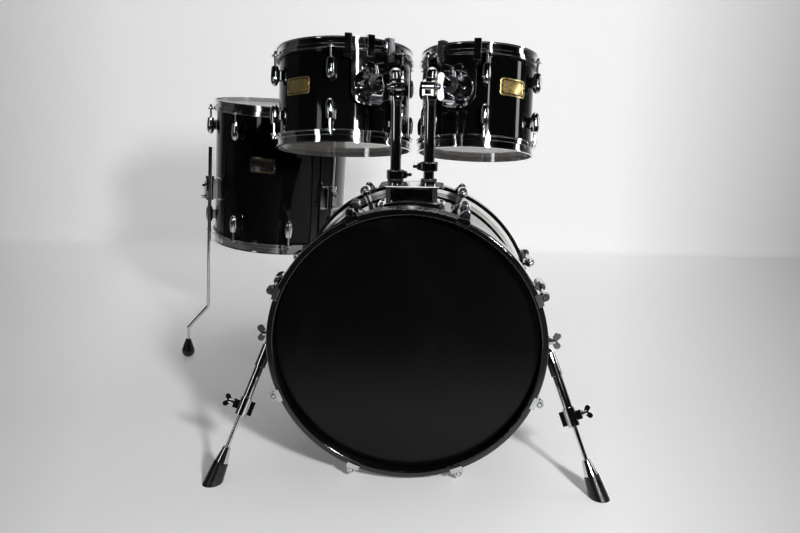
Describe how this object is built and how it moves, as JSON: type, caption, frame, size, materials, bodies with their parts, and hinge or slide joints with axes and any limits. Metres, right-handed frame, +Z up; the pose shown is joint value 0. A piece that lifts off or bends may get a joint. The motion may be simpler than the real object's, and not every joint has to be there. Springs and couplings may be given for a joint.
{
  "type": "acoustic drum kit",
  "caption": "Black acoustic drum kit: bass drum on spurs, toms on a double holder, floor tom on three legs.",
  "frame": {"origin": "on the floor under the bass drum, at the rear edge of the batter hoop where a pedal clamps", "axes": "+Z up, +Y from the bass drum towards the player, +X to the right of someone facing the front head"},
  "size_m": [1.0541, 1.0861, 0.8662],
  "materials": {
    "black_lacquer": "piano black high-gloss lacquer over wood plies",
    "hoop_lacquer": "black lacquered wood, satin gloss",
    "black_film": "plain black polyester film, low sheen",
    "clear_film": "clear polyester film",
    "coated_film": "white coated polyester film",
    "foot_rubber": "moulded black rubber",
    "nylon": "black nylon",
    "chrome": "bright chrome plate"
  },
  "bodies": {
    "bass_drum": {"bass_shell": "black_lacquer", "bass_hoops": "hoop_lacquer", "bass_front_head": "black_film", "bass_batter_head": "coated_film", "bass_lugs": "chrome", "bass_claws": "chrome", "bass_tension_rods": "chrome", "tom_holder": "chrome", "spur_brackets": "chrome", "bass_bracket_screws": "chrome"},
    "left_spur": {"left_spur_leg": "chrome"},
    "left_spur_extension": {"left_spur_rod": "chrome", "left_spur_foot": "foot_rubber"},
    "left_spur_screw": {"left_spur_wing_screw": "chrome"},
    "right_spur": {"right_spur_leg": "chrome"},
    "right_spur_extension": {"right_spur_rod": "chrome", "right_spur_foot": "foot_rubber"},
    "right_spur_screw": {"right_spur_wing_screw": "chrome"},
    "left_post_bushing": {"left_post_bushing": "nylon"},
    "left_post": {"left_post": "chrome"},
    "left_memory_lock": {"left_memory_lock": "chrome"},
    "left_lock_screw": {"left_lock_screw": "chrome"},
    "left_tilter_arm": {"left_tilter_arm": "chrome"},
    "left_tilter_wing_nut": {"left_tilter_wing_nut": "chrome"},
    "left_mount_bushing": {"left_mount_bushing": "nylon"},
    "left_tom": {"left_tom_shell": "black_lacquer", "left_tom_batter_head": "coated_film", "left_tom_resonant_head": "clear_film", "left_tom_hoops": "chrome", "left_tom_lugs": "chrome", "left_tom_tension_rods": "chrome", "left_tom_mount": "chrome"},
    "right_post_bushing": {"right_post_bushing": "nylon"},
    "right_post": {"right_post": "chrome"},
    "right_memory_lock": {"right_memory_lock": "chrome"},
    "right_lock_screw": {"right_lock_screw": "chrome"},
    "right_tilter_arm": {"right_tilter_arm": "chrome"},
    "right_tilter_wing_nut": {"right_tilter_wing_nut": "chrome"},
    "right_mount_bushing": {"right_mount_bushing": "nylon"},
    "right_tom": {"right_tom_shell": "black_lacquer", "right_tom_batter_head": "coated_film", "right_tom_resonant_head": "clear_film", "right_tom_hoops": "chrome", "right_tom_lugs": "chrome", "right_tom_tension_rods": "chrome", "right_tom_mount": "chrome"},
    "floor_tom": {"floor_tom_shell": "black_lacquer", "floor_tom_batter_head": "coated_film", "floor_tom_resonant_head": "clear_film", "floor_tom_hoops": "chrome", "floor_tom_lugs": "chrome", "floor_tom_tension_rods": "chrome", "floor_tom_leg_brackets": "chrome", "floor_tom_leg_screws": "chrome"},
    "floor_tom_leg_1": {"floor_tom_leg_1": "chrome", "floor_tom_foot_1": "foot_rubber"},
    "floor_tom_leg_2": {"floor_tom_leg_2": "chrome", "floor_tom_foot_2": "foot_rubber"},
    "floor_tom_leg_3": {"floor_tom_leg_3": "chrome", "floor_tom_foot_3": "foot_rubber"}
  },
  "joints": [
    {"name": "left_spur_fold", "type": "hinge", "parent": "bass_drum", "child": "left_spur", "pos_m": [-0.2713, -0.32584, 0.27573], "axis": [1, 0, 0], "range_deg": [0, 105]},
    {"name": "left_spur_length", "type": "slide", "parent": "left_spur", "child": "left_spur_extension", "axis": [-0.3326, -0.3502, -0.8756], "range_m": [-0.045, 0.045]},
    {"name": "left_spur_screw_turn", "type": "hinge", "parent": "left_spur", "child": "left_spur_screw", "pos_m": [-0.32302, -0.3803, 0.13957], "axis": [-0.9348, 0, 0.3551], "range_deg": [0, 360]},
    {"name": "right_spur_fold", "type": "hinge", "parent": "bass_drum", "child": "right_spur", "pos_m": [0.2713, -0.32584, 0.27573], "axis": [1, 0, 0], "range_deg": [0, 105]},
    {"name": "right_spur_length", "type": "slide", "parent": "right_spur", "child": "right_spur_extension", "axis": [0.3326, -0.3502, -0.8756], "range_m": [-0.045, 0.045]},
    {"name": "right_spur_screw_turn", "type": "hinge", "parent": "right_spur", "child": "right_spur_screw", "pos_m": [0.32302, -0.3803, 0.13957], "axis": [0.9348, 0, 0.3551], "range_deg": [0, 360]},
    {"name": "left_post_swivel", "type": "hinge", "parent": "bass_drum", "child": "left_post_bushing", "pos_m": [-0.034, -0.20462, 0.52765], "axis": [0, 0.0175, 0.9998], "range_deg": [0, 25]},
    {"name": "left_post_height", "type": "slide", "parent": "left_post_bushing", "child": "left_post", "axis": [0, 0.0175, 0.9998], "range_m": [0, 0.08]},
    {"name": "left_memory_lock_height", "type": "slide", "parent": "left_post", "child": "left_memory_lock", "axis": [0, 0.0175, 0.9998], "range_m": [0, 0.06]},
    {"name": "left_lock_screw_turn", "type": "hinge", "parent": "left_memory_lock", "child": "left_lock_screw", "pos_m": [-0.034, -0.20365, 0.58314], "axis": [1, 0, 0], "range_deg": [0, 360]},
    {"name": "left_tilter_tilt", "type": "hinge", "parent": "left_post", "child": "left_tilter_arm", "pos_m": [-0.034, -0.20061, 0.75742], "axis": [0.8906, 0.4547, -0.0079], "range_deg": [-5, 6.5]},
    {"name": "left_tilter_nut_turn", "type": "hinge", "parent": "left_post", "child": "left_tilter_wing_nut", "pos_m": [-0.034, -0.20061, 0.75742], "axis": [-0.8906, -0.4547, 0.0079], "range_deg": [0, 360]},
    {"name": "left_arm_reach", "type": "slide", "parent": "left_tilter_arm", "child": "left_mount_bushing", "axis": [-0.4473, 0.8727, -0.1958], "range_m": [-0.01, 0]},
    {"name": "left_tom_roll", "type": "hinge", "parent": "left_mount_bushing", "child": "left_tom", "pos_m": [-0.17263, 0.07032, 0.72317], "axis": [-0.4473, 0.8727, -0.1958], "range_deg": [0, 7]},
    {"name": "right_post_swivel", "type": "hinge", "parent": "bass_drum", "child": "right_post_bushing", "pos_m": [0.034, -0.20462, 0.52765], "axis": [0, 0.0175, 0.9998], "range_deg": [-25, 0]},
    {"name": "right_post_height", "type": "slide", "parent": "right_post_bushing", "child": "right_post", "axis": [0, 0.0175, 0.9998], "range_m": [-0.015, 0.08]},
    {"name": "right_memory_lock_height", "type": "slide", "parent": "right_post", "child": "right_memory_lock", "axis": [0, 0.0175, 0.9998], "range_m": [0, 0.06]},
    {"name": "right_lock_screw_turn", "type": "hinge", "parent": "right_memory_lock", "child": "right_lock_screw", "pos_m": [0.034, -0.20336, 0.60014], "axis": [-1, 0, 0], "range_deg": [0, 360]},
    {"name": "right_tilter_tilt", "type": "hinge", "parent": "right_post", "child": "right_tilter_arm", "pos_m": [0.034, -0.20058, 0.75942], "axis": [0.9291, -0.3697, 0.0065], "range_deg": [-5, 15]},
    {"name": "right_tilter_nut_turn", "type": "hinge", "parent": "right_post", "child": "right_tilter_wing_nut", "pos_m": [0.034, -0.20058, 0.75942], "axis": [0.9291, -0.3697, 0.0065], "range_deg": [0, 360]},
    {"name": "right_arm_reach", "type": "slide", "parent": "right_tilter_arm", "child": "right_mount_bushing", "axis": [0.361, 0.9033, -0.2316], "range_m": [-0.01, 0.03]},
    {"name": "right_tom_roll", "type": "hinge", "parent": "right_mount_bushing", "child": "right_tom", "pos_m": [0.13786, 0.05976, 0.71943], "axis": [0.361, 0.9033, -0.2316], "range_deg": [-7, 3]},
    {"name": "floor_tom_place", "type": "slide", "parent": "bass_drum", "child": "floor_tom", "axis": [-1, 0, 0], "range_m": [0, 0.25]},
    {"name": "floor_tom_leg_1_height", "type": "slide", "parent": "floor_tom", "child": "floor_tom_leg_1", "axis": [0.0663, 0, 0.9978], "range_m": [-0.06, 0.06]},
    {"name": "floor_tom_leg_2_height", "type": "slide", "parent": "floor_tom", "child": "floor_tom_leg_2", "axis": [0.0663, 0, 0.9978], "range_m": [-0.06, 0.06]},
    {"name": "floor_tom_leg_3_height", "type": "slide", "parent": "floor_tom", "child": "floor_tom_leg_3", "axis": [0.0663, 0, 0.9978], "range_m": [-0.06, 0.06]}
  ]
}
